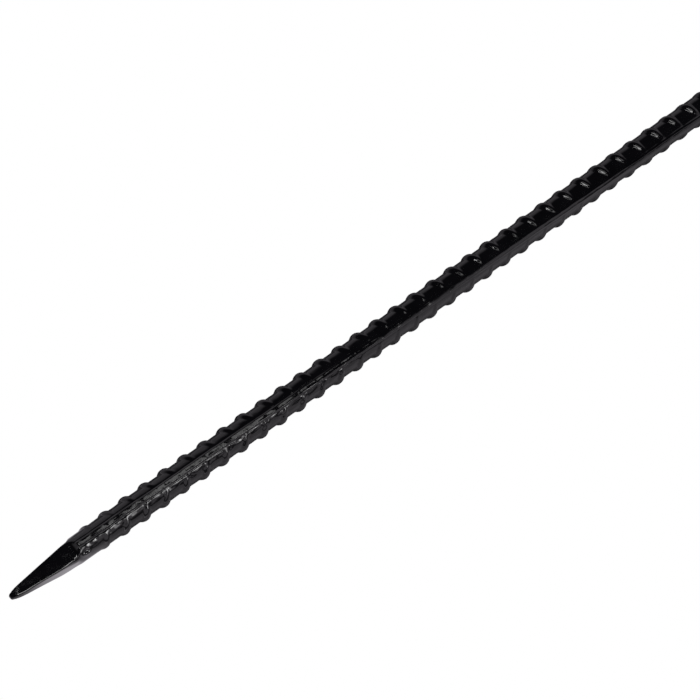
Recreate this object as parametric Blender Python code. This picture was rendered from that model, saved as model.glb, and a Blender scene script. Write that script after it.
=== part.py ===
"""Post anchor spike: a ribbed steel bar with a forged point, and two post lugs welded beside its struck end.

It lies on its post face: the bar runs along X with its point at -X, +Z is away from the post, and
the origin is under the middle of the bar, on the plane of the post face. Lengths are in metres.
"""

import math

import bmesh
import bpy
from mathutils import Vector

# Driving dimensions
MM = 0.001
SPIKE_LENGTH = 610 * MM
CORE_RADIUS = 5.75 * MM  # the round bar between its ribs
GAP = 0.3 * MM  # kept between pieces that touch on the real anchor

# Rolled ribs. Each half of the bar has its own row of crescent ribs between two lengthwise ribs.
RIB_HEIGHT = 1.3 * MM
RIB_PITCH = {1: 10.34 * MM, -1: 10.30 * MM}
RIB_START = {1: 44.5 * MM, -1: 48.3 * MM}  # the first rib's middle, from the point, beside the front lengthwise rib
RIB_LEAN = 2.2 * MM  # how far a rib leans back along the bar for each radian away from the front lengthwise rib
RIB_SHARPNESS = 2.8  # how quickly a crescent fades away from its middle
RIB_STATIONS = ((-0.23, 0.0), (-0.09, 1.0), (0.09, 1.0), (0.23, 0.0))  # pitches from the middle, share of the height
FIRST_RIBS = (0.6, 0.85)  # the ribs nearest the point are lower
SPINE_HEIGHT = 0.5 * MM  # a lengthwise rib, which stands on the crown below
SPINE_TOP_ANGLE = math.radians(9)  # half the angle that a lengthwise rib's top spans
SPINE_FOOT_ANGLE = math.radians(16)
CROWN_HEIGHT = 0.8 * MM  # the bar is drawn out towards both lengthwise ribs, like a pointed oval
CROWN_ANGLE = math.radians(45)
COLUMNS_BETWEEN_SPINES = 5
SPINE_ANGLE_AT_POINT = math.radians(87.8)  # where the front lengthwise rib lies, from -Y towards +Z
SPINE_TWIST = math.radians(-0.156) / MM  # the bar's twist along its length

# Forged point: (distance from its end, half the width across its flats)
POINT_PROFILE = (
    (0.0, 1.1 * MM),
    (1.5 * MM, 1.6 * MM),
    (11 * MM, 2.5 * MM),
    (31 * MM, 4.15 * MM),
    (37 * MM, 6.3 * MM),
    (43 * MM, 9 * MM),
)
BLANK_OVERRUN = 4 * MM  # how far the rolled blank runs past both trimmed ends

# Post lugs
LUG_LENGTH = 60 * MM
LUG_THICKNESS = 5 * MM
LUG_OUTER_Y = 35 * MM
LUG_CORNER = 6 * MM
LUG_EDGE = 0.4 * MM
STRUCK_END_STANDOUT = 8 * MM  # the bar's struck end stands this far past the lugs
HOLE_RADIUS = 3.5 * MM
HOLE_TO_OUTER_EDGE = 12 * MM
HOLE_TO_LUG_END = 15 * MM
HOLE_SIDES = 24
CORNER_STEPS = 6

# Weld beads
WELD_END_SETBACK = 3 * MM
WELD_LEG = 5 * MM
WELD_TOP_ANGLE = math.radians(26)
WELD_BULGE = 0.5 * MM
WELD_STATIONS = ((0.0, 0.5), (0.04, 0.85), (0.1, 1.0), (0.5, 0.96), (0.9, 1.0), (0.96, 0.85), (1.0, 0.5))
WELD_ARC_STEPS = 4

# Worked out from the above
CREST_RADIUS = CORE_RADIUS + RIB_HEIGHT
AXIS_Z = CREST_RADIUS
POINT_X = -SPIKE_LENGTH / 2
STRUCK_X = SPIKE_LENGTH / 2
LUG_HIGH_X = STRUCK_X - STRUCK_END_STANDOUT
LUG_LOW_X = LUG_HIGH_X - LUG_LENGTH
LUG_INNER_Y = CREST_RADIUS + GAP
HOLE_Y = LUG_OUTER_Y - HOLE_TO_OUTER_EDGE


def clear_scene():
    for obj in list(bpy.data.objects):
        bpy.data.objects.remove(obj, do_unlink=True)


def paint(name, colour, roughness):
    """Gloss black enamel over steel."""
    material = bpy.data.materials.new(name)
    material.use_nodes = True
    shader = material.node_tree.nodes["Principled BSDF"]
    shader.inputs["Base Color"].default_value = (*colour, 1)
    shader.inputs["Roughness"].default_value = roughness
    shader.inputs["Metallic"].default_value = 0.0
    material.diffuse_color = (*colour, 1)
    return material


def add_object(name, mesh_source, material=None):
    """Turns a bmesh into an object with outward faces."""
    bmesh.ops.recalc_face_normals(mesh_source, faces=mesh_source.faces)
    mesh = bpy.data.meshes.new(name)
    mesh_source.to_mesh(mesh)
    mesh_source.free()
    obj = bpy.data.objects.new(name, mesh)
    bpy.context.scene.collection.objects.link(obj)
    if material:
        mesh.materials.append(material)
    return obj


def loft(sections):
    """A closed bmesh through equal rings of points, with a flat cap on each end ring."""
    lofted = bmesh.new()
    rings = [[lofted.verts.new(point) for point in section] for section in sections]
    count = len(rings[0])
    for near, far in zip(rings, rings[1:]):
        for i in range(count):
            j = (i + 1) % count
            lofted.faces.new((near[i], near[j], far[j], far[i]))
    lofted.faces.new(rings[0])
    lofted.faces.new(rings[-1])
    return lofted


def cut(obj, cutter, operation="DIFFERENCE"):
    """Adds a Boolean that cuts obj with cutter, which is then only a helper."""
    cutter.hide_render = True
    cutter.display_type = "WIRE"
    modifier = obj.modifiers.new(f"{operation.lower()} {cutter.name}", "BOOLEAN")
    modifier.operation = operation
    modifier.solver = "EXACT"
    modifier.object = cutter


def shade_round(obj, angle=30):
    obj.data.shade_smooth()
    obj.data.set_sharp_from_angle(angle=math.radians(angle))


# The bar


def spine_angle(x):
    """Where the front lengthwise rib lies at x, as an angle from -Y towards +Z."""
    return SPINE_ANGLE_AT_POINT + SPINE_TWIST * (x - POINT_X)


def on_bar(x, angle, radius):
    return Vector((x, -radius * math.cos(angle), AXIS_Z + radius * math.sin(angle)))


def ring_angles():
    """Angles round the bar from the front lengthwise rib: both tops, their feet, and even steps between."""
    step = (math.pi - 2 * SPINE_FOOT_ANGLE) / (COLUMNS_BETWEEN_SPINES + 1)
    half = [SPINE_TOP_ANGLE, SPINE_FOOT_ANGLE]
    half += [SPINE_FOOT_ANGLE + step * (i + 1) for i in range(COLUMNS_BETWEEN_SPINES)]
    half += [math.pi - SPINE_FOOT_ANGLE, math.pi - SPINE_TOP_ANGLE]
    return [0, *half, math.pi, *[-angle for angle in reversed(half)]]


def surface_radius(angle, rib_share):
    """The bar's radius at an angle from the front lengthwise rib, where rib_share of a crescent rib stands up."""
    from_spine = min(abs(angle), math.pi - abs(angle))
    crown = CROWN_HEIGHT * max(0, 1 - from_spine / CROWN_ANGLE) ** 2
    spine = SPINE_HEIGHT if from_spine < (SPINE_TOP_ANGLE + SPINE_FOOT_ANGLE) / 2 else 0
    rib = RIB_HEIGHT * rib_share * math.sin(from_spine) ** RIB_SHARPNESS
    return min(CORE_RADIUS + max(crown + spine, rib), CREST_RADIUS)


def rib_middle(rib, angle):
    """How far a rib's middle is from the point: on a lengthwise rib, halfway between the two rows."""
    middles = {side: RIB_START[side] + RIB_PITCH[side] * rib - RIB_LEAN * abs(angle) for side in (1, -1)}
    if angle in (0, math.pi):
        return (middles[1] + middles[-1]) / 2
    return middles[1 if angle > 0 else -1]


def blank_section(rib, offset, share):
    """One ring of the rolled blank, which follows the lean of the ribs. rib counts them from the point."""
    section = []
    for angle in ring_angles():
        x = POINT_X + rib_middle(rib + offset, angle)
        section.append(on_bar(x, spine_angle(x) + angle, surface_radius(angle, share)))
    return section


def make_bar_blank():
    """The rolled bar, longer than the spike at both ends."""
    before_point = -(RIB_START[-1] + BLANK_OVERRUN) / RIB_PITCH[-1]
    last_rib = math.ceil((SPIKE_LENGTH + BLANK_OVERRUN + RIB_LEAN * math.pi - RIB_START[1]) / RIB_PITCH[-1])
    sections = [blank_section(0, before_point, 0.0)]
    for rib in range(last_rib + 1):
        full = FIRST_RIBS[rib] if rib < len(FIRST_RIBS) else 1.0
        sections += [blank_section(rib, offset, share * full) for offset, share in RIB_STATIONS]
    return loft(sections)


def make_trim():
    """What the blank keeps: a square taper that opens into a box round the bar, as long as the spike."""
    profile = [*POINT_PROFILE, (SPIKE_LENGTH, POINT_PROFILE[-1][1])]
    corners = ((-1, -1), (1, -1), (1, 1), (-1, 1))
    sections = [
        [Vector((POINT_X + along, y * half, AXIS_Z + z * half)) for y, z in corners] for along, half in profile
    ]
    return add_object("trim", loft(sections))


def make_spike_bar(material):
    bar = add_object("spike_bar", make_bar_blank(), material)
    cut(bar, make_trim(), "INTERSECT")
    shade_round(bar)
    return bar


# The lugs


def lug_outline(side):
    """Seen from above: square corners beside the bar, round ones on the outside."""
    low = LUG_LOW_X + LUG_CORNER
    high = LUG_HIGH_X - LUG_CORNER
    middle_y = LUG_OUTER_Y - LUG_CORNER
    points = [(LUG_LOW_X, LUG_INNER_Y)]
    for centre_x, start in ((low, math.pi), (high, math.pi / 2)):
        for i in range(CORNER_STEPS + 1):
            turn = start - math.pi / 2 * i / CORNER_STEPS
            points.append((centre_x + LUG_CORNER * math.cos(turn), middle_y + LUG_CORNER * math.sin(turn)))
    points.append((LUG_HIGH_X, LUG_INNER_Y))
    return [Vector((x, side * y, 0)) for x, y in points]


def make_hole_cutter(name, x, y):
    cutter = bmesh.new()
    bmesh.ops.create_cone(
        cutter,
        segments=HOLE_SIDES,
        radius1=HOLE_RADIUS,
        radius2=HOLE_RADIUS,
        depth=LUG_THICKNESS * 3,
        cap_ends=True,
    )
    obj = add_object(name, cutter)
    obj.location = (x, y, LUG_THICKNESS / 2)
    return obj


def make_lug(name, side, material):
    outline = lug_outline(side)
    up = Vector((0, 0, LUG_THICKNESS))
    lug = add_object(name, loft([outline, [point + up for point in outline]]), material)
    for number, x in enumerate((LUG_LOW_X + HOLE_TO_LUG_END, LUG_HIGH_X - HOLE_TO_LUG_END)):
        cut(lug, make_hole_cutter(f"{name}_screw_hole_{number}", x, side * HOLE_Y))
    bevel = lug.modifiers.new("broken edges", "BEVEL")
    bevel.width = LUG_EDGE
    bevel.segments = 1
    bevel.limit_method = "ANGLE"
    bevel.angle_limit = math.radians(60)
    shade_round(lug)
    return lug


# The welds


def weld_section(x, side, share):
    """A fillet between a lug's upper face and the bar's side: share is its size against the full bead."""
    inner_radius = CREST_RADIUS + GAP
    floor_z = LUG_THICKNESS + GAP
    low_angle = math.asin((floor_z - AXIS_Z) / inner_radius)
    high_angle = low_angle + (WELD_TOP_ANGLE - low_angle) * share
    inner = []
    for i in range(WELD_ARC_STEPS + 1):
        angle = low_angle + (high_angle - low_angle) * i / WELD_ARC_STEPS
        inner.append(Vector((inner_radius * math.cos(angle), AXIS_Z + inner_radius * math.sin(angle))))
    toe = Vector((inner[0].x + WELD_LEG * share, floor_z))
    chord = toe - inner[-1]
    outward = Vector((-chord.y, chord.x)).normalized()
    face = []
    for i in range(1, WELD_ARC_STEPS):
        along = i / WELD_ARC_STEPS
        face.append(inner[-1] + chord * along + outward * WELD_BULGE * share * math.sin(math.pi * along))
    return [Vector((x, side * point.x, point.y)) for point in [*inner, *face, toe]]


def make_weld(name, side, material):
    low = LUG_LOW_X + WELD_END_SETBACK
    length = LUG_LENGTH - 2 * WELD_END_SETBACK
    sections = [weld_section(low + length * along, side, share) for along, share in WELD_STATIONS]
    weld = add_object(name, loft(sections), material)
    shade_round(weld, 45)
    return weld


def main():
    clear_scene()
    make_spike_bar(paint("bar_paint", (0.006, 0.006, 0.007), 0.12))
    for hand, side in (("left", 1), ("right", -1)):
        make_lug(f"post_lug_{hand}", side, paint(f"lug_paint_{hand}", (0.006, 0.006, 0.007), 0.15))
        make_weld(f"weld_bead_{hand}", side, paint(f"weld_paint_{hand}", (0.007, 0.007, 0.008), 0.2))


main()
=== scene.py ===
"""The looks of the post anchor spike: a finely rolled, forged and painted bar with its welded lugs.

The meshes are worked out in millimetres, in the CAD's frame, and turned into metres as they are made.
Materials, lights, floor and camera are in metres.
"""

import math

import bmesh
import bpy
import numpy as np
from mathutils import Matrix, Vector


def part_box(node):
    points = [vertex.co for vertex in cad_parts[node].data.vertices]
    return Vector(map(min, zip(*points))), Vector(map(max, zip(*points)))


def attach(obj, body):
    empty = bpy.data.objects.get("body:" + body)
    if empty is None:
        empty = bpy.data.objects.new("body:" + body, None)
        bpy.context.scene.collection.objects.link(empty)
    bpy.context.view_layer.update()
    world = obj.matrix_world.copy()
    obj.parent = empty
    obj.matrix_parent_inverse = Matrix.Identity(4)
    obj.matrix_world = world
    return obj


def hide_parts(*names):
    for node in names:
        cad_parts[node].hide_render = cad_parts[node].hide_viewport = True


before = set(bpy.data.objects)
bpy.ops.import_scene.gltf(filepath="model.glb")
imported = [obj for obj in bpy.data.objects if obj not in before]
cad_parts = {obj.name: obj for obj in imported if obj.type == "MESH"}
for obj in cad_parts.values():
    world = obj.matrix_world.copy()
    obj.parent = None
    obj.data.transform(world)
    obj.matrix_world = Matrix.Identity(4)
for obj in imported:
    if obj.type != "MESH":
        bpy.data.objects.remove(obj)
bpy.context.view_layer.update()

MM = 0.001
BAR_LOW, BAR_HIGH = (np.array(corner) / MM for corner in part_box("spike_bar"))
POINT_X = BAR_LOW[0]
STRUCK_X = BAR_HIGH[0]
BAR_LENGTH = STRUCK_X - POINT_X
CREST_RADIUS = (BAR_HIGH[2] - BAR_LOW[2]) / 2
AXIS_Z = (BAR_HIGH[2] + BAR_LOW[2]) / 2
LARGEST_RADIUS = CREST_RADIUS - 0.02  # the painted bar stays just inside the CAD's crests

# Rolled ribs, nearly as in the CAD. Side 1 is counted up from the front lengthwise rib, side -1 down from it.
RIB_HEIGHT = 1.2
CORE_RADIUS = CREST_RADIUS - RIB_HEIGHT
RIB_PITCH = {1: 10.34, -1: 10.30}
RIB_START = {1: 44.5, -1: 48.3}  # the first rib's middle, from the point, beside the front lengthwise rib
RIB_LEAN = 2.2  # how far a rib leans back along the bar for each radian away from the front lengthwise rib
RIB_PEAK_ANGLE = math.radians(86)  # a crescent is highest this far round from the front lengthwise rib
RIB_SHARPNESS = 5.5  # how quickly a crescent fades away from its peak
RIB_LOWEST_SHARE = 0.25  # the share of its height that a crescent keeps as far as the front lengthwise rib
RIB_LOWEST_FADE = (math.radians(70), math.radians(110))
RIB_HALF_BASE = 2.35
RIB_ROUNDNESS = 2.2
RIB_FOOT_BLEND = 0.05
FIRST_RIBS = (0.6, 0.85)  # the ribs nearest the point are lower
RIB_STRAY = 0.12  # how far ribs stray from their places
RIB_UNEVENNESS = 0.04  # the share by which their heights differ
RIB_SEED = 40
RIB_DRAWS = 400
FIRST_STRAY_DRAW = 20  # ribs are numbered from below zero, so the first rib's own draws start here
FIRST_HEIGHT_DRAW = 120

# Lengthwise ribs, which stand on crowns of the bar and are sharper nearest the point
SPINE_HEIGHT = 0.28
SPINE_HALF_TOP = 0.65
SPINE_HALF_FOOT = 1.3
SPINE_LINE_HEIGHT = 0.03
SPINE_LINE_OFFSET = 0.7
SPINE_LINE_WIDTH = 0.15
SPINE_GROOVE_DEPTH = 0.10
SPINE_GROOVE_OFFSET = SPINE_HALF_FOOT + 0.15
SPINE_GROOVE_WIDTH = 0.25
SPINE_DULLING = 0.65
SPINE_DULLED_FROM_POINT = (110, 230)
SPINE_ANGLE_AT_POINT = math.radians(87.8)
SPINE_TWIST = math.radians(-0.156)  # for each millimetre along the bar
SPINE_SEEDS = (3, 4)  # front and back
CROWN_HEIGHT = 0.8
CROWN_ANGLE = math.radians(45)
JOIN_POWER = 4  # how sharply the crescent ribs run into the lengthwise ones

# Forged point: its faces are POINT_HALF_WIDTH from the axis at its end, less the nose's drop, and POINT_TAPER
# further for each millimetre along it. They bulge on the lower front side, and flare out into the round bar.
POINT_HALF_WIDTH = 1.56
POINT_TAPER = 0.094
POINT_NOSE_DROP = 0.95
POINT_NOSE_LENGTH = 1.8
POINT_LENGTH = 31.2  # where the faces start to flare
POINT_FLARE = 0.2
POINT_CORNER = 1.38  # the distance from the axis to its rounded edges, as a share of that to its faces
POINT_FACE_ANGLES = tuple(math.radians(angle) for angle in (81, -9, -99, 171))
POINT_BOW = 0.3
POINT_BOW_GROWTH = 0.014
POINT_BOW_ANGLE = math.radians(-24)
FACE_LEAST_COSINE = 0.05  # below this, a face is nearly edge-on, seen from the axis
FACE_OUT_OF_REACH = 100.0
BLEND_SHARPNESS = 9.0  # how sharply the forged faces meet each other and the round bar

# Wrinkled paint: at the shoulder where two faces run out, and where it ran together below the lengthwise rib
SHOULDER_FROM_POINT = 35
SHOULDER_LENGTH = 4
SHOULDER_ANGLE = math.radians(33)
SHOULDER_SPREAD = 0.3
RUN_LOWER_EDGE = (-0.95, -0.6)  # angles from the front lengthwise rib
RUN_UPPER_EDGE = (-0.36, -0.22)
RUN_SHARE_AT_POINT = 0.45
RUN_FULL_FROM_POINT = (65, 100)
RUN_END_FROM_POINT = (150, 215)

# Unevenness is a sum of layers of waves, each with its height, wavelength, seed and number of waves. It is
# read at points in space, which the offsets and spacings below keep apart where places should differ.
SURFACE_LAYERS = ((0.03, 14, 1, 28), (0.015, 3.4, 2, 28), (0.007, 1.7, 3, 40))
SHOULDER_LAYERS = ((0.2, 2.8, 5, 40),)
RUN_LAYERS = ((0.07, 2.4, 7, 40), (0.04, 1.4, 8, 40))
SPINE_WANDER_LAYERS = ((0.10, 30, 0, 28), (0.04, 7, 10, 28))
SPINE_HEIGHT_LAYERS = ((0.05, 12, 20, 28),)
FACE_DENT_LAYERS = ((0.025, 9, 60, 28), (0.006, 3.5, 70, 28))
WELD_WANDER_LAYERS = ((0.25, 11, 31, 28),)
WELD_SURFACE_LAYERS = ((0.05, 2.5, 32, 28),)
WAVELENGTH_RANGE = (0.7, 1.5)
SPINE_WAVE_SPACING = 50.0
FACE_WAVE_SPACING = 30.0
FACE_WAVE_WIDTH = 2  # for each radian
WELD_WAVE_OFFSET = 40
WELD_WAVE_WIDTH = 7

# The bar's rings, which lean with its ribs, and the columns between them
DENSE_ANGLE = math.radians(20)  # columns are closer together up to here from the lengthwise ribs
DENSE_COLUMNS = 15
SPARSE_COLUMNS = 40
RIB_CREST_STATION = 0.03  # in pitches from a rib's middle
RIB_FLANK_STATIONS = np.linspace(0.09, 0.27, 5)
RIB_HOLLOW_STATIONS = (0.38, 0.5, 0.62)
POINT_RINGS = 90
STRUCK_RINGS = 28
STRUCK_STRETCH = 12  # the last stretch of the bar has evenly spaced rings
LEAN_STARTS_FROM_POINT = (30, 44)
LEAN_ENDS_FROM_STRUCK = (12, 1)
ROW_BLEND_ANGLE = math.radians(24)  # over a lengthwise rib, rings pass from one row of ribs to the other
# Both ends close in past the first or last full ring: (distance in from the end, share of that ring's radius)
NOSE_DEPTH = 1.2
NOSE_PROFILE = ((0.0, 0.3), (0.1, 0.55), (0.35, 0.78), (0.8, 0.94))
STRUCK_DEPTH = 0.8
STRUCK_PROFILE = ((0.35, 0.985), (0.08, 0.94), (0.0, 0.86), (0.05, 0.5))
STRUCK_DISHING = 0.06

# Lugs
LUG_CORNER = 6.0
LUG_INNER_CORNER = 1.2
LUG_CORNER_STEPS = 12
LUG_EDGE_ROUNDING = 0.6
LUG_EDGE_STEPS = 5
LUG_SHARP_ANGLE = math.radians(35)
HOLE_RADIUS = 3.5
HOLE_TO_OUTER_EDGE = 12.0
HOLE_TO_LUG_END = 15.0
HOLE_SIDES = 56

# Weld beads, whose root and toe are given by their distance from the axis along Y and their height
WELD_ROOT = (4.8, 9.8)
WELD_TOE = (12.3, 5.0)
WELD_BULGE = 1.3
WELD_FULLNESS = 0.8
WELD_RIPPLE_PITCH = 1.9
WELD_RIPPLE_HEIGHT = 0.28
WELD_RIPPLE_MEAN = 0.6
WELD_RIPPLE_BOW = 1.5
WELD_END_LENGTH = 3.5
WELD_END_SHARE = 0.35
WELD_BURIED_DEPTH = 0.5
WELD_BURIED_INSET = 0.4
WELD_COLUMNS = 19
WELD_RINGS = 240
WELD_SHARP_ANGLE = math.radians(60)

# Paint
PAINT_DARK = (0.0003, 0.0003, 0.0005, 1)
PAINT_PALE = (0.0014, 0.0013, 0.0017, 1)
PAINT_IOR = 1.45
TINT_SCALE = 120
GLOSS_PATCH_SCALE = 260
GLOSS_PATCH_RANGE = (0.35, 0.7)
PEEL_HEIGHT = 0.018 * MM
WRINKLE_HEIGHT = 0.004 * MM
WRINKLES_TO_PEEL = 3.2  # how much finer wrinkles are than orange peel

# Brightness steps, in metres on the floor and as parts of a direction in the world: from, to, before, after
# The floor's steps are painted shade beside the bar and painted light under the point, seen only in the
# paint's reflections
FLOOR_FRONT_PAINTED_SHADE_STEP = (-0.016, -0.006, 0.72, 0.1)
FLOOR_BEHIND_PAINTED_SHADE_STEP = (0.01, 0.25, 0.0, 0.5)
FLOOR_POINT_PAINTED_LIGHT_STEP = (-0.302, -0.28, 0.2, 1.1)
FLOOR_PAINTED_LIGHT_END_STEP = (-0.276, -0.25, 0.0, -1.1)
FLOOR_HALF_SIZE = 15
WORLD_FRONT_STEP = (0.46, 0.7, 0.95, 0.02)
WORLD_HORIZON_STEP = (0.13, 0.28, 0.12, 1.0)
WORLD_BEHIND_STEP = (0.35, 0.66, 0.52, 0.02)
WORLD_SIDE_STEP = (-0.2, 0.2, 0, 1)
STUDIO_TINT = (1.0, 0.95, 1.02, 1)

# Stage
VIEW_MIDDLE = (-0.2, 0, 0)
POINT_STRETCH = (-0.24, 0, 0)
MIDDLE_STRETCH = (-0.05, 0, 0)
CAMERA_LENS = 165.5
CAMERA_DISTANCE = 1.368
CAMERA_AZIMUTH = math.radians(-39.23)
CAMERA_ELEVATION = math.radians(60.16)
CAMERA_TARGET_FROM_POINT = 180.6 * MM
CAMERA_TARGET_ASIDE = 2.17 * MM


# Small tools


def ease(low, high, values):
    """0 below low, 1 above high and a smooth step between."""
    t = np.clip((values - low) / (high - low), 0, 1)
    return t * t * (3 - 2 * t)


def hump(distance, width):
    """1 at no distance, fading smoothly to 0 over a few widths."""
    return np.exp(-((distance / width) ** 2))


def waves(points, wavelength, seed, count):
    """Smooth noise of about unit strength at points (n, 3): a sum of waves in seeded directions."""
    rng = np.random.default_rng(seed)
    directions = rng.normal(size=(count, 3))
    directions /= np.linalg.norm(directions, axis=1, keepdims=True)
    lengths = wavelength * rng.uniform(*WAVELENGTH_RANGE, count)
    phases = rng.uniform(0, 2 * np.pi, count)
    total = np.zeros(len(points))
    for direction, length, phase in zip(directions, lengths, phases):
        total += np.sin(points @ direction * (2 * np.pi / length) + phase)
    return total * math.sqrt(2 / count)


def unevenness(points, layers, first_seed=0):
    """The sum of layers of waves, whose seeds are counted from first_seed."""
    return sum(
        height * waves(points, wavelength, first_seed + seed, count)
        for height, wavelength, seed, count in layers
    )


def placed(place, right, up, back):
    """The matrix that puts a camera or light at place, looking away from back."""
    return Matrix.Translation(place) @ Matrix((right, up, back)).transposed().to_4x4()


def mesh_object(name, points_mm, faces, material):
    mesh = bpy.data.meshes.new(name)
    mesh.from_pydata((np.asarray(points_mm) * MM).tolist(), [], faces)
    mesh.materials.append(material)
    mesh.shade_smooth()
    obj = bpy.data.objects.new(name, mesh)
    bpy.context.scene.collection.objects.link(obj)
    return obj


def tube_faces(rings, columns):
    """Quads between successive rings of points, with a fan on a last point at each end."""
    faces = []
    first_hub = rings * columns
    last_hub = first_hub + 1
    last_ring = (rings - 1) * columns
    for ring in range(rings - 1):
        near = ring * columns
        far = near + columns
        for j in range(columns):
            k = (j + 1) % columns
            faces.append((near + j, near + k, far + k, far + j))
    for j in range(columns):
        k = (j + 1) % columns
        faces.append((first_hub, k, j))
        faces.append((last_hub, last_ring + j, last_ring + k))
    return faces


def stand_for(piece, node):
    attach(piece, "root")
    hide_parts(node)


# The bar


def spine_angle(x):
    """Where the front lengthwise rib lies, as an angle from -Y towards +Z."""
    return SPINE_ANGLE_AT_POINT + SPINE_TWIST * (x - POINT_X)


def rib_height(x, angle):
    """Height of the crescent ribs at x and at an angle from the front lengthwise rib."""
    height = np.full_like(x, -RIB_HEIGHT)
    for side in (1, -1):
        here = angle * side > 0
        from_spine = np.abs(angle[here])
        along = (x[here] - POINT_X - RIB_START[side] + RIB_LEAN * from_spine) / RIB_PITCH[side]
        number = np.round(along)
        draws = np.random.default_rng(RIB_SEED + side).normal(size=RIB_DRAWS)
        stray = RIB_STRAY * draws[number.astype(int) + FIRST_STRAY_DRAW]
        taller = RIB_UNEVENNESS * draws[number.astype(int) + FIRST_HEIGHT_DRAW]
        from_middle = np.abs((along - number) * RIB_PITCH[side] + stray)
        drop = (from_middle / RIB_HALF_BASE) ** RIB_ROUNDNESS
        full = np.where(number < 0, 0.0, 1.0 + taller)
        for first, share in enumerate(FIRST_RIBS):
            full = np.where(number == first, share, full)
        from_peak = np.clip(from_spine - RIB_PEAK_ANGLE, -math.pi / 2, math.pi / 2)
        lowest = RIB_LOWEST_SHARE * (1 - ease(*RIB_LOWEST_FADE, from_spine))
        crescent = lowest + (1 - lowest) * np.cos(from_peak) ** RIB_SHARPNESS
        height[here] = RIB_HEIGHT * (full * crescent - drop)
    return np.logaddexp(0, height / RIB_FOOT_BLEND) * RIB_FOOT_BLEND


def spine_height(x, angle):
    """Height of both lengthwise ribs, with a fine raised line along their edges and grooves at their feet."""
    height = np.zeros_like(x)
    dulled = 1 - SPINE_DULLING * ease(*SPINE_DULLED_FROM_POINT, x - POINT_X)
    for seed, across in zip(SPINE_SEEDS, (angle, np.abs(angle) - np.pi)):
        line = np.stack([x, np.full_like(x, seed * SPINE_WAVE_SPACING), np.zeros_like(x)], axis=1)
        offset = np.abs(across * CORE_RADIUS - unevenness(line, SPINE_WANDER_LAYERS, seed))
        body = np.clip((SPINE_HALF_FOOT - offset) / (SPINE_HALF_FOOT - SPINE_HALF_TOP), 0, 1)
        body *= SPINE_HEIGHT + unevenness(line, SPINE_HEIGHT_LAYERS, seed)
        raised = SPINE_LINE_HEIGHT * hump(offset - SPINE_LINE_OFFSET, SPINE_LINE_WIDTH)
        groove = SPINE_GROOVE_DEPTH * hump(offset - SPINE_GROOVE_OFFSET, SPINE_GROOVE_WIDTH)
        from_top = np.maximum(offset, SPINE_HALF_TOP) / (CORE_RADIUS * CROWN_ANGLE)
        crown = CROWN_HEIGHT * np.maximum(0, 1 - from_top) ** 2
        height += dulled * (body + raised - groove) + crown
    return height


def paint_run(x, angle, around):
    """Wrinkles in the paint that has run together below the front lengthwise rib, nearest the point."""
    beside = ease(*RUN_LOWER_EDGE, angle) * (1 - ease(*RUN_UPPER_EDGE, angle))
    share = RUN_SHARE_AT_POINT + (1 - RUN_SHARE_AT_POINT) * ease(*RUN_FULL_FROM_POINT, x - POINT_X)
    share *= 1 - ease(*RUN_END_FROM_POINT, x - POINT_X)
    return beside * share * unevenness(around, RUN_LAYERS)


def point_radii(x, turn):
    """Distances from the axis to the point's edges and four faces, at angle turn from -Y towards +Z."""
    from_end = x - POINT_X
    flare = POINT_FLARE * np.maximum(0, from_end - POINT_LENGTH) ** 2
    nose = POINT_NOSE_DROP * np.exp(-from_end / POINT_NOSE_LENGTH)
    half_width = POINT_HALF_WIDTH + POINT_TAPER * from_end - nose + flare
    bow = POINT_BOW + POINT_BOW_GROWTH * from_end
    radii = [half_width * POINT_CORNER + bow * np.maximum(0, np.cos(turn - POINT_BOW_ANGLE))]
    for number, face_angle in enumerate(POINT_FACE_ANGLES):
        place_y = np.full_like(x, number * FACE_WAVE_SPACING)
        place = np.stack([x, place_y, turn * FACE_WAVE_WIDTH], axis=1)
        dents = unevenness(place, FACE_DENT_LAYERS, number)
        flat = half_width + dents + bow * max(0.0, math.cos(face_angle - POINT_BOW_ANGLE))
        toward = np.cos(turn - face_angle)
        reach = flat / np.maximum(toward, FACE_LEAST_COSINE)
        radii.append(np.where(toward > FACE_LEAST_COSINE, reach, FACE_OUT_OF_REACH))
    return radii


def bar_radius(x, angle):
    """The painted bar's radius at x and at an angle from the front lengthwise rib."""
    turn = spine_angle(x) + angle
    around = np.stack([x, CORE_RADIUS * np.cos(turn), CORE_RADIUS * np.sin(turn)], axis=1)
    ribs = rib_height(x, angle)
    spine = spine_height(x, angle)
    joined = (ribs**JOIN_POWER + spine**JOIN_POWER) ** (1 / JOIN_POWER)
    rolled = CORE_RADIUS + np.where(spine > 0, joined, ribs + spine)
    rolled += unevenness(around, SURFACE_LAYERS) + paint_run(x, angle, around)
    rolled = np.minimum(rolled, LARGEST_RADIUS)
    # the smallest of all these radii, with its corners rounded
    total = np.exp(-BLEND_SHARPNESS * (rolled - CORE_RADIUS))
    for forged in point_radii(x, turn):
        total += np.exp(-BLEND_SHARPNESS * (forged - CORE_RADIUS))
    radius = CORE_RADIUS - np.log(total) / BLEND_SHARPNESS
    shoulder = hump(x - POINT_X - SHOULDER_FROM_POINT, SHOULDER_LENGTH)
    shoulder *= hump(turn - SHOULDER_ANGLE, SHOULDER_SPREAD)
    radius += shoulder * unevenness(around, SHOULDER_LAYERS)
    return np.minimum(radius, LARGEST_RADIUS)


def bar_columns():
    """Angles round the bar, closer together over the lengthwise ribs."""
    near = np.linspace(0, DENSE_ANGLE, DENSE_COLUMNS)[1:]
    far = np.linspace(DENSE_ANGLE, math.pi - DENSE_ANGLE, SPARSE_COLUMNS)[1:-1]
    half = np.concatenate([near - near[0] / 2, far, np.pi - near[::-1] + near[0] / 2])
    return np.concatenate([half, -half[::-1]])


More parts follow.
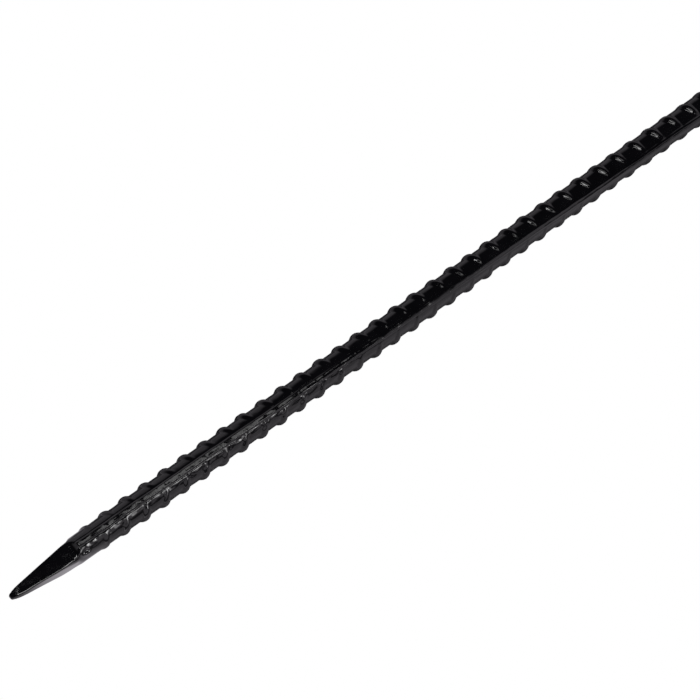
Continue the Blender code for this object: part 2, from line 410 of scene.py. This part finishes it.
def bar_stations():
    """Each ring's distance from the point: steps that follow the ribs' flanks, and even ones at both ends."""
    crest = (-RIB_CREST_STATION, RIB_CREST_STATION)
    in_rib = np.concatenate([-RIB_FLANK_STATIONS[::-1], crest, RIB_FLANK_STATIONS, RIB_HOLLOW_STATIONS])
    first = RIB_START[1] - RIB_LEAN * math.pi / 2
    ribs = int((BAR_LENGTH - STRUCK_STRETCH - first) / RIB_PITCH[1])
    ribbed = np.concatenate([first + RIB_PITCH[1] * (number + in_rib) for number in range(ribs)])
    point = np.linspace(NOSE_DEPTH, ribbed[0], POINT_RINGS)[:-1]
    struck = np.linspace(ribbed[-1], BAR_LENGTH - STRUCK_DEPTH, STRUCK_RINGS)[1:]
    return np.concatenate([point, ribbed, struck])


def ring_lean(columns):
    """How far along the bar a ring's points lie from its middle, so that it follows the ribs of both rows."""
    front_share = np.clip(0.5 + columns / ROW_BLEND_ANGLE, 0, 1)
    from_back = (math.pi - np.abs(columns)) / ROW_BLEND_ANGLE
    back_share = 0.5 + np.sign(columns) * np.clip(from_back, 0, 0.5)
    upper_row_share = np.where(np.abs(columns) > math.pi / 2, back_share, front_share)
    stagger = RIB_START[-1] - RIB_START[1]
    return RIB_LEAN * (math.pi / 2 - np.abs(columns)) + stagger * (1 - upper_row_share)


def on_bar(x, angle, radius):
    turn = spine_angle(x) + angle
    return np.stack([x, -radius * np.cos(turn), AXIS_Z + radius * np.sin(turn)], axis=1)


def end_rings(end_x, inward, profile, columns, radius):
    """Rings that close in on one end of the bar."""
    rings = []
    for depth, share in profile:
        x = np.full(len(columns), end_x + inward * depth)
        rings.append(on_bar(x, columns, radius * share))
    return rings


def make_bar(material):
    """The bar, as rings of points from its point to its struck end."""
    columns = bar_columns()
    count = len(columns)
    stations = bar_stations()
    lean_end, lean_gone = (BAR_LENGTH - distance for distance in LEAN_ENDS_FROM_STRUCK)
    lean_share = ease(*LEAN_STARTS_FROM_POINT, stations) * (1 - ease(lean_end, lean_gone, stations))
    along = stations[:, None] + lean_share[:, None] * ring_lean(columns)
    x = POINT_X + along.ravel()
    angle = np.broadcast_to(columns, along.shape).ravel()
    radius = bar_radius(x, angle)
    nose = end_rings(POINT_X, 1, NOSE_PROFILE, columns, radius[:count])
    tail = end_rings(STRUCK_X, -1, STRUCK_PROFILE, columns, radius[-count:])
    hubs = [[POINT_X, 0, AXIS_Z], [STRUCK_X - STRUCK_DISHING, 0, AXIS_Z]]
    points = np.concatenate([*nose, on_bar(x, angle, radius), *tail, hubs])
    rings = len(nose) + len(stations) + len(tail)
    bar = mesh_object("rolled_spike_bar", points, tube_faces(rings, count), material)
    stand_for(bar, "spike_bar")


# Lugs and welds


def rounded_path(low_x, high_x, inner_y, outer_y, side, inset):
    """A lug's outline, moved in by inset: round outer corners and nearly square inner ones."""
    corners = (
        (low_x, inner_y, LUG_INNER_CORNER, 1, 1, -math.pi / 2),
        (low_x, outer_y, LUG_CORNER, 1, -1, math.pi),
        (high_x, outer_y, LUG_CORNER, -1, -1, math.pi / 2),
        (high_x, inner_y, LUG_INNER_CORNER, -1, 1, 0),
    )
    path = []
    for corner_x, corner_y, radius, to_x, to_y, start in corners:
        middle_x = corner_x + to_x * radius
        middle_y = corner_y + to_y * radius
        for step in range(LUG_CORNER_STEPS + 1):
            turn = start - math.pi / 2 * step / LUG_CORNER_STEPS
            x = middle_x + (radius - inset) * math.cos(turn)
            y = middle_y + (radius - inset) * math.sin(turn)
            path.append((x, side * y))
    return path


def hole_path(x, y, inset):
    """A screw hole's outline, widened by inset."""
    radius = HOLE_RADIUS + inset
    turns = [2 * math.pi * step / HOLE_SIDES for step in range(HOLE_SIDES)]
    return [(x + radius * math.cos(turn), y + radius * math.sin(turn)) for turn in turns]


def edge_profile(low_z, high_z):
    """The inset and height of each loop round a lug's rounded edge, from its lower face to its upper one."""
    lower = []
    for step in range(LUG_EDGE_STEPS + 1):
        turn = math.pi / 2 * step / LUG_EDGE_STEPS
        inset = LUG_EDGE_ROUNDING * (1 - math.sin(turn))
        lower.append((inset, low_z + LUG_EDGE_ROUNDING * (1 - math.cos(turn))))
    upper = [(inset, high_z + low_z - z) for inset, z in reversed(lower)]
    return lower + upper


def plate_mesh(name, paths, low_z, high_z):
    """A flat plate inside its first path and outside the others, with rounded edges along them all."""
    plate = bmesh.new()
    lower_edges, upper_edges = [], []
    for path in paths:
        loops = []
        for inset, z in edge_profile(low_z, high_z):
            loops.append([plate.verts.new((x * MM, y * MM, z * MM)) for x, y in path(inset)])
        for near, far in zip(loops, loops[1:]):
            for i in range(len(near)):
                j = (i + 1) % len(near)
                plate.faces.new((near[i], near[j], far[j], far[i]))
        for edges, loop in ((lower_edges, loops[0]), (upper_edges, loops[-1])):
            edges += [plate.edges.get(ends) for ends in zip(loop, loop[1:] + loop[:1])]
    for edges in (lower_edges, upper_edges):
        bmesh.ops.triangle_fill(plate, use_beauty=True, edges=edges)
    bmesh.ops.recalc_face_normals(plate, faces=plate.faces)
    mesh = bpy.data.meshes.new(name)
    plate.to_mesh(mesh)
    plate.free()
    mesh.shade_smooth()
    mesh.set_sharp_from_angle(angle=LUG_SHARP_ANGLE)
    return mesh


def make_lug(hand, side, material):
    """A post lug with its two screw holes."""
    node = f"post_lug_{hand}"
    low, high = (np.array(corner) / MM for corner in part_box(node))
    inner_y, outer_y = sorted((abs(low[1]), abs(high[1])))
    hole_y = side * (outer_y - HOLE_TO_OUTER_EDGE)
    paths = [lambda inset: rounded_path(low[0], high[0], inner_y, outer_y, side, inset)]
    for hole_x in (low[0] + HOLE_TO_LUG_END, high[0] - HOLE_TO_LUG_END):
        paths.append(lambda inset, hole_x=hole_x: hole_path(hole_x, hole_y, inset))
    mesh = plate_mesh(f"painted_lug_{hand}", paths, low[2], high[2])
    mesh.materials.append(material)
    lug = bpy.data.objects.new(mesh.name, mesh)
    bpy.context.scene.collection.objects.link(lug)
    stand_for(lug, node)


def weld_section(x, from_end, side):
    """A ring of points across a weld bead: its rippled face from root to toe, and two points buried below."""
    root, toe = np.array(WELD_ROOT), np.array(WELD_TOE)
    chord = toe - root
    outward = np.array([-chord[1], chord[0]]) / np.linalg.norm(chord)
    across = np.linspace(0, 1, WELD_COLUMNS)
    place_y = side * WELD_WAVE_OFFSET + across * WELD_WAVE_WIDTH
    place = np.stack([np.full_like(across, x), place_y, np.zeros_like(across)], axis=1)
    bowed = x + unevenness(place, WELD_WANDER_LAYERS) + WELD_RIPPLE_BOW * (2 * across - 1) ** 2
    ripple = np.abs(np.sin(np.pi * bowed / WELD_RIPPLE_PITCH)) - WELD_RIPPLE_MEAN
    rise = WELD_BULGE + WELD_RIPPLE_HEIGHT * ripple + unevenness(place, WELD_SURFACE_LAYERS)
    rise *= np.sin(np.pi * across) ** WELD_FULLNESS
    # both ends of the bead shrink towards the root's foot
    full = math.sqrt(max(0.0, 1 - max(0.0, 1 - from_end / WELD_END_LENGTH) ** 2))
    spread = WELD_END_SHARE + (1 - WELD_END_SHARE) * full
    face = root + (chord * across[:, None] + outward * rise[:, None]) * spread
    face[:, 1] -= (1 - spread) * (root[1] - toe[1])
    buried_z = toe[1] - WELD_BURIED_DEPTH
    buried = [(face[-1, 0] - WELD_BURIED_INSET, buried_z), (root[0], buried_z)]
    return [(x, side * y, z) for y, z in [*face, *buried]]


def make_weld(hand, side, material):
    """A rippled fillet from the bar's side down to the lug's upper face."""
    node = f"weld_bead_{hand}"
    low, high = (np.array(corner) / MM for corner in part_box(node))
    sections = []
    for x in np.linspace(low[0], high[0], WELD_RINGS):
        sections.append(weld_section(x, min(x - low[0], high[0] - x), side))
    hubs = [tuple(np.mean(section, axis=0)) for section in (sections[0], sections[-1])]
    points = [point for section in sections for point in section] + hubs
    faces = tube_faces(len(sections), len(sections[0]))
    if side > 0:
        faces = [face[::-1] for face in faces]
    weld = mesh_object(f"rippled_weld_{hand}", points, faces, material)
    weld.data.set_sharp_from_angle(angle=WELD_SHARP_ANGLE)
    stand_for(weld, node)


# Materials


def new_material(name):
    material = bpy.data.materials.new(name)
    material.use_nodes = True
    nodes = material.node_tree.nodes
    return material, nodes, material.node_tree.links, nodes["Principled BSDF"]


def noise_node(nodes, links, place, scale, detail, roughness=0.5):
    """Fractal noise over place, with scale in cycles for each metre."""
    node = nodes.new("ShaderNodeTexNoise")
    node.inputs["Scale"].default_value = scale
    node.inputs["Detail"].default_value = detail
    node.inputs["Roughness"].default_value = roughness
    links.new(place, node.inputs["Vector"])
    return node.outputs["Fac"]


def smooth_step(nodes, links, value, step):
    """The value turned into a smooth step, given by where it starts and ends and by its two levels."""
    node = nodes.new("ShaderNodeMapRange")
    node.interpolation_type = "SMOOTHSTEP"
    for socket, number in zip(("From Min", "From Max", "To Min", "To Max"), step):
        node.inputs[socket].default_value = number
    links.new(value, node.inputs["Value"])
    return node.outputs["Result"]


def math_node(nodes, links, operation, first, second):
    node = nodes.new("ShaderNodeMath")
    node.operation = operation
    for socket, value in zip(node.inputs, (first, second)):
        links.new(value, socket)
    return node.outputs["Value"]


def bump(nodes, links, height, distance, under=None):
    node = nodes.new("ShaderNodeBump")
    node.inputs["Strength"].default_value = 1.0
    node.inputs["Distance"].default_value = distance
    links.new(height, node.inputs["Height"])
    if under:
        links.new(under, node.inputs["Normal"])
    return node.outputs["Normal"]


def gloss_paint(name, low_roughness, high_roughness, peel_scale):
    """Thick black enamel: nearly black, with an uneven gloss, orange peel and fine wrinkles."""
    material, nodes, links, shader = new_material(name)
    place = nodes.new("ShaderNodeTexCoord").outputs["Object"]
    tint = nodes.new("ShaderNodeMix")
    tint.data_type = "RGBA"
    tint.inputs["A"].default_value = PAINT_DARK
    tint.inputs["B"].default_value = PAINT_PALE
    links.new(noise_node(nodes, links, place, TINT_SCALE, detail=4), tint.inputs["Factor"])
    links.new(tint.outputs["Result"], shader.inputs["Base Color"])
    patches = noise_node(nodes, links, place, GLOSS_PATCH_SCALE, detail=3)
    gloss_step = (*GLOSS_PATCH_RANGE, low_roughness, high_roughness)
    links.new(smooth_step(nodes, links, patches, gloss_step), shader.inputs["Roughness"])
    peel = noise_node(nodes, links, place, peel_scale, detail=2, roughness=0.45)
    wrinkles = noise_node(nodes, links, place, peel_scale * WRINKLES_TO_PEEL, detail=3, roughness=0.6)
    normal = bump(nodes, links, peel, PEEL_HEIGHT)
    normal = bump(nodes, links, wrinkles, WRINKLE_HEIGHT, normal)
    links.new(normal, shader.inputs["Normal"])
    shader.inputs["IOR"].default_value = PAINT_IOR
    return material


def floor_material():
    """White card, which the camera sees evenly white. In the paint's reflections it glows with painted shade
    beside the bar, darker as in a close shadow, and painted light below the point.
    """
    material, nodes, links, shader = new_material("pale_floor")
    shader.inputs["Base Color"].default_value = (0.9, 0.9, 0.9, 1)
    shader.inputs["Roughness"].default_value = 0.9
    shader.inputs["Specular IOR Level"].default_value = 0.1
    split = nodes.new("ShaderNodeSeparateXYZ")
    links.new(nodes.new("ShaderNodeTexCoord").outputs["Object"], split.inputs["Vector"])
    # painted shade beside the bar and painted light under the point, which the floor shows only to the
    # paint's reflections
    painted_shade_and_light = smooth_step(nodes, links, split.outputs["Y"], FLOOR_FRONT_PAINTED_SHADE_STEP)
    for axis, step in (("Y", FLOOR_BEHIND_PAINTED_SHADE_STEP), ("X", FLOOR_POINT_PAINTED_LIGHT_STEP), ("X", FLOOR_PAINTED_LIGHT_END_STEP)):
        share = smooth_step(nodes, links, split.outputs[axis], step)
        painted_shade_and_light = math_node(nodes, links, "ADD", painted_shade_and_light, share)
    seen = nodes.new("ShaderNodeEmission")
    seen.inputs["Strength"].default_value = 1.0
    # in the paint's reflections the floor glows with this painted shade and light instead of its own shading
    painted_reflection = nodes.new("ShaderNodeEmission")
    painted_reflection.inputs["Color"].default_value = STUDIO_TINT
    links.new(painted_shade_and_light, painted_reflection.inputs["Strength"])
    light_path = nodes.new("ShaderNodeLightPath")
    surface = shader.outputs["BSDF"]
    for layer, ray in ((seen, "Is Camera Ray"), (painted_reflection, "Is Glossy Ray")):
        mix = nodes.new("ShaderNodeMixShader")
        links.new(light_path.outputs[ray], mix.inputs["Fac"])
        links.new(surface, mix.inputs[1])
        links.new(layer.outputs["Emission"], mix.inputs[2])
        surface = mix.outputs["Shader"]
    links.new(surface, nodes["Material Output"].inputs["Surface"])
    return material


# Stage


def make_floor():
    source = bmesh.new()
    bmesh.ops.create_grid(source, x_segments=1, y_segments=1, size=FLOOR_HALF_SIZE)
    mesh = bpy.data.meshes.new("floor")
    source.to_mesh(mesh)
    source.free()
    mesh.materials.append(floor_material())
    floor = bpy.data.objects.new("floor", mesh)
    bpy.context.scene.collection.objects.link(floor)


def make_area_light(name, place, aim, size, radiance, along=(0, 0, 1), glossy=True):
    """A soft light of an even radiance, with its second side turned along a direction."""
    light = bpy.data.lights.new(name, "AREA")
    light.shape = "RECTANGLE"
    light.size, light.size_y = size
    light.energy = radiance * math.pi * size[0] * size[1]
    back = (Vector(place) - Vector(aim)).normalized()
    right = Vector(along).cross(back).normalized()
    obj = bpy.data.objects.new(name, light)
    obj.matrix_world = placed(place, right, back.cross(right), back)
    obj.visible_camera = False
    obj.visible_glossy = glossy
    bpy.context.scene.collection.objects.link(obj)


def make_lights():
    """A ceiling that only lights, and four lights that the paint mirrors."""
    make_area_light(
        "ceiling", place=(-0.2, 0, 1.6), aim=(-0.2, 0.01, 0), size=(2.2, 2.2), radiance=4.0, glossy=False
    )
    make_area_light("window", place=(0.08, -0.93, 0.6), aim=POINT_STRETCH, size=(0.24, 0.4), radiance=3.9)
    make_area_light("lamp", place=(0.08, -0.9, 0.62), aim=POINT_STRETCH, size=(0.11, 0.16), radiance=12.0)
    make_area_light(
        "skylight",
        place=(0.172, -0.27, 1.335),
        aim=VIEW_MIDDLE,
        size=(0.15, 0.82),
        radiance=2.6,
        along=(-0.191, 0.678, 0.154),
    )
    make_area_light(
        "strip",
        place=(-0.322, -0.414, 1.36),
        aim=MIDDLE_STRETCH,
        size=(0.13, 1.07),
        radiance=12.0,
        along=(-0.51, 1.58, -0.21),
    )


def make_world():
    """A studio that is pale low down and dark overhead."""
    world = bpy.data.worlds.new("studio")
    world.use_nodes = True
    nodes, links = world.node_tree.nodes, world.node_tree.links
    direction = nodes.new("ShaderNodeTexCoord").outputs["Generated"]
    split = nodes.new("ShaderNodeSeparateXYZ")
    links.new(direction, split.inputs["Vector"])
    high = smooth_step(nodes, links, split.outputs["Z"], WORLD_FRONT_STEP)
    horizon = smooth_step(nodes, links, split.outputs["Z"], WORLD_HORIZON_STEP)
    front = math_node(nodes, links, "MULTIPLY", high, horizon)
    behind = smooth_step(nodes, links, split.outputs["Z"], WORLD_BEHIND_STEP)
    side = nodes.new("ShaderNodeMix")
    links.new(smooth_step(nodes, links, split.outputs["Y"], WORLD_SIDE_STEP), side.inputs["Factor"])
    links.new(front, side.inputs["A"])
    links.new(behind, side.inputs["B"])
    links.new(side.outputs["Result"], nodes["Background"].inputs["Strength"])
    nodes["Background"].inputs["Color"].default_value = STUDIO_TINT
    bpy.context.scene.world = world


def make_camera():
    """A camera that looks down on the stretch next to the point, with the bar running up to the right."""
    right = Vector((math.cos(CAMERA_AZIMUTH), math.sin(CAMERA_AZIMUTH), 0))
    level = right.cross(Vector((0, 0, 1)))
    back = level * math.cos(CAMERA_ELEVATION) + Vector((0, 0, math.sin(CAMERA_ELEVATION)))
    up = back.cross(right)
    bar_across_view = back.cross(Vector((1, 0, 0))).normalized()
    target = Vector((POINT_X * MM + CAMERA_TARGET_FROM_POINT, 0, AXIS_Z * MM))
    target += bar_across_view * CAMERA_TARGET_ASIDE
    data = bpy.data.cameras.new("camera")
    data.lens = CAMERA_LENS
    data.sensor_width = 36
    data.clip_start = 0.05
    data.clip_end = 50
    camera = bpy.data.objects.new("camera", data)
    camera.matrix_world = placed(target + back * CAMERA_DISTANCE, right, up, back)
    bpy.context.scene.collection.objects.link(camera)
    bpy.context.scene.camera = camera


def main():
    bpy.context.scene.view_settings.view_transform = "Standard"
    make_camera()
    make_world()
    make_floor()
    make_lights()
    make_bar(gloss_paint("bar_gloss_paint", low_roughness=0.05, high_roughness=0.15, peel_scale=700))
    lug_paint = gloss_paint("lug_gloss_paint", low_roughness=0.1, high_roughness=0.22, peel_scale=450)
    weld_paint = gloss_paint("weld_gloss_paint", low_roughness=0.12, high_roughness=0.28, peel_scale=900)
    for hand, side in (("left", 1), ("right", -1)):
        make_lug(hand, side, lug_paint)
        make_weld(hand, side, weld_paint)


main()
